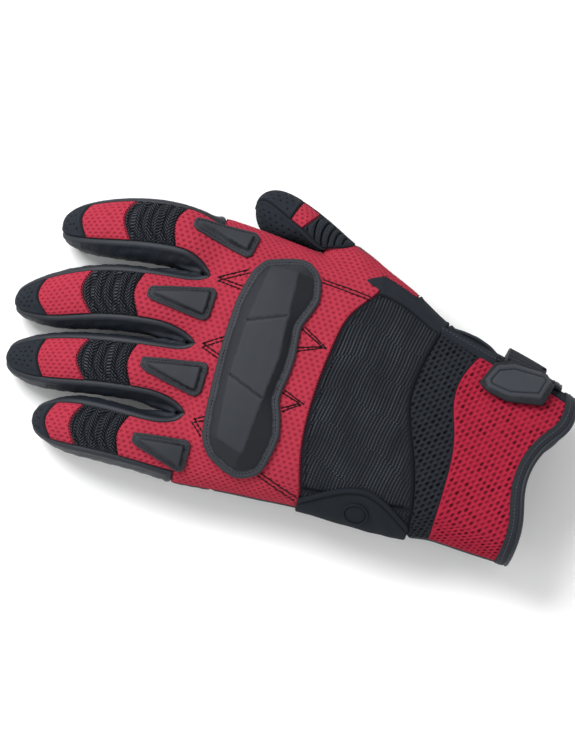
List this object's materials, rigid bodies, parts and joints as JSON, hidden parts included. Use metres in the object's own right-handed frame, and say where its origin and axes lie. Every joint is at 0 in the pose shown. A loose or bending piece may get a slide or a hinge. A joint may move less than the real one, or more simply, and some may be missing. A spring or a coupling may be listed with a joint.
{
  "type": "riding glove",
  "caption": "Short-cuff left riding glove with moulded knuckle guard and finger pads, pleated stretch joints, elastic wrist and strap closure.",
  "frame": {"origin": "centre region of the flat underside of the palm heel pad, on the resting plane", "axes": "+Y toward the fingertips, +X toward the thumb side, +Z out of the back of the hand"},
  "size_m": [0.1331, 0.2403, 0.049],
  "materials": {
    "air_mesh_panel": "black air mesh",
    "back_mesh": "perforated red mesh",
    "back_mesh_front": "perforated red mesh",
    "cuff_binding": "smooth black leather",
    "cuff_gusset": "smooth black leather",
    "cuff_lining": "black napped fabric",
    "cuff_mesh": "open red air mesh",
    "cuff_palm": "smooth black leather",
    "elastic_panel": "black ribbed stretch fabric",
    "flap_button": "charcoal suede",
    "hook_patch": "black napped fabric",
    "index_accordion": "pleated black stretch fabric",
    "index_base_leather": "smooth black leather",
    "index_bend_leather": "smooth black leather",
    "index_mesh": "perforated red mesh",
    "index_pad": "matt moulded rubber",
    "index_tip_cap": "charcoal suede",
    "index_tip_leather": "smooth black leather",
    "knuckle_guard": "matt moulded rubber",
    "loop_patch": "black napped fabric",
    "middle_accordion": "pleated black stretch fabric",
    "middle_base_leather": "smooth black leather",
    "middle_bend_leather": "smooth black leather",
    "middle_mesh": "perforated red mesh",
    "middle_pad": "matt moulded rubber",
    "middle_tip_cap": "charcoal suede",
    "middle_tip_leather": "smooth black leather",
    "palm_crease": "smooth black leather",
    "palm_heel_pad": "matt moulded rubber",
    "palm_leather": "smooth black leather",
    "palm_outer_pad": "matt moulded rubber",
    "pinky_accordion": "pleated black stretch fabric",
    "pinky_base_leather": "smooth black leather",
    "pinky_bend_leather": "smooth black leather",
    "pinky_mesh": "perforated red mesh",
    "pinky_pad": "matt moulded rubber",
    "pinky_tip_cap": "charcoal suede",
    "pinky_tip_leather": "smooth black leather",
    "ring_accordion": "pleated black stretch fabric",
    "ring_base_leather": "smooth black leather",
    "ring_bend_leather": "smooth black leather",
    "ring_mesh": "perforated red mesh",
    "ring_pad": "matt moulded rubber",
    "ring_tip_cap": "charcoal suede",
    "ring_tip_leather": "smooth black leather",
    "side_flap": "charcoal suede",
    "strap_band": "smooth black leather",
    "strap_grip": "matt moulded rubber",
    "strap_keeper": "matt moulded rubber",
    "strap_tab": "matt moulded rubber",
    "thumb_accordion": "pleated black stretch fabric",
    "thumb_base_leather": "smooth black leather",
    "thumb_bend_leather": "charcoal suede",
    "thumb_mesh": "perforated red mesh",
    "thumb_side_mesh": "perforated red mesh",
    "thumb_tip_cap": "charcoal suede",
    "thumb_tip_leather": "charcoal suede",
    "thumb_web_patch": "charcoal suede",
    "wrist_palm_stretch": "black ribbed stretch fabric"
  },
  "bodies": {
    "hand": {"back_mesh": "back_mesh", "thumb_side_mesh": "thumb_side_mesh", "palm_leather": "palm_leather", "palm_crease": "palm_crease", "elastic_panel": "elastic_panel", "thumb_web_patch": "thumb_web_patch", "side_flap": "side_flap", "flap_button": "flap_button", "wrist_palm_stretch": "wrist_palm_stretch", "knuckle_guard": "knuckle_guard", "palm_heel_pad": "palm_heel_pad", "palm_outer_pad": "palm_outer_pad", "thumb_base_leather": "thumb_base_leather", "thumb_accordion": "thumb_accordion", "thumb_bend_leather": "thumb_bend_leather"},
    "finger_row": {"back_mesh_front": "back_mesh_front", "index_base_leather": "index_base_leather", "index_accordion": "index_accordion", "index_bend_leather": "index_bend_leather", "index_pad": "index_pad", "middle_base_leather": "middle_base_leather", "middle_accordion": "middle_accordion", "middle_bend_leather": "middle_bend_leather", "middle_pad": "middle_pad", "ring_base_leather": "ring_base_leather", "ring_accordion": "ring_accordion", "ring_bend_leather": "ring_bend_leather", "ring_pad": "ring_pad", "pinky_base_leather": "pinky_base_leather", "pinky_accordion": "pinky_accordion", "pinky_bend_leather": "pinky_bend_leather", "pinky_pad": "pinky_pad"},
    "cuff": {"air_mesh_panel": "air_mesh_panel", "cuff_mesh": "cuff_mesh", "cuff_palm": "cuff_palm", "cuff_gusset": "cuff_gusset", "cuff_lining": "cuff_lining", "cuff_binding": "cuff_binding", "strap_band": "strap_band", "strap_keeper": "strap_keeper", "loop_patch": "loop_patch"},
    "strap": {"strap_tab": "strap_tab", "strap_grip": "strap_grip", "hook_patch": "hook_patch"},
    "thumb_tip": {"thumb_mesh": "thumb_mesh", "thumb_tip_cap": "thumb_tip_cap", "thumb_tip_leather": "thumb_tip_leather"},
    "index_tip": {"index_mesh": "index_mesh", "index_tip_cap": "index_tip_cap", "index_tip_leather": "index_tip_leather"},
    "middle_tip": {"middle_mesh": "middle_mesh", "middle_tip_cap": "middle_tip_cap", "middle_tip_leather": "middle_tip_leather"},
    "ring_tip": {"ring_mesh": "ring_mesh", "ring_tip_cap": "ring_tip_cap", "ring_tip_leather": "ring_tip_leather"},
    "pinky_tip": {"pinky_mesh": "pinky_mesh", "pinky_tip_cap": "pinky_tip_cap", "pinky_tip_leather": "pinky_tip_leather"}
  },
  "joints": [
    {"name": "knuckle_fold", "type": "hinge", "parent": "hand", "child": "finger_row", "pos_m": [0, 0.037, 0.02], "axis": [-1, 0, 0], "range_deg": [0, 50], "deforming": ["palm_crease"]},
    {"name": "index_curl", "type": "hinge", "parent": "finger_row", "child": "index_tip", "pos_m": [0.0431, 0.076, 0.0216], "axis": [-0.9977, -0.0683, 0], "range_deg": [0, 65], "deforming": ["index_accordion", "index_bend_leather"]},
    {"name": "middle_curl", "type": "hinge", "parent": "finger_row", "child": "middle_tip", "pos_m": [0.012, 0.0854, 0.0212], "axis": [-0.9893, -0.146, 0], "range_deg": [0, 65], "deforming": ["middle_accordion", "middle_bend_leather"]},
    {"name": "ring_curl", "type": "hinge", "parent": "finger_row", "child": "ring_tip", "pos_m": [-0.0165, 0.0804, 0.0208], "axis": [-0.9942, -0.1079, 0], "range_deg": [0, 65], "deforming": ["ring_accordion", "ring_bend_leather"]},
    {"name": "pinky_curl", "type": "hinge", "parent": "finger_row", "child": "pinky_tip", "pos_m": [-0.0442, 0.077, 0.0194], "axis": [-0.9999, 0.0169, 0], "range_deg": [0, 65], "deforming": ["pinky_accordion", "pinky_bend_leather"]},
    {"name": "thumb_extend", "type": "hinge", "parent": "hand", "child": "thumb_tip", "pos_m": [0.0593, 0.0114, 0.0176], "axis": [0.6195, -0.3753, -0.6895], "range_deg": [0, 25], "deforming": ["thumb_accordion", "thumb_bend_leather"]},
    {"name": "wrist_flex", "type": "hinge", "parent": "hand", "child": "cuff", "pos_m": [-0.008, -0.033, 0.025], "axis": [1, 0, 0], "range_deg": [-20, 20], "deforming": ["elastic_panel", "thumb_web_patch", "thumb_side_mesh", "side_flap", "wrist_palm_stretch"]},
    {"name": "strap_open", "type": "hinge", "parent": "cuff", "child": "strap", "pos_m": [0.0314, -0.0855, 0.0262], "axis": [0.2331, 0.9725, 0], "range_deg": [0, 100]}
  ]
}
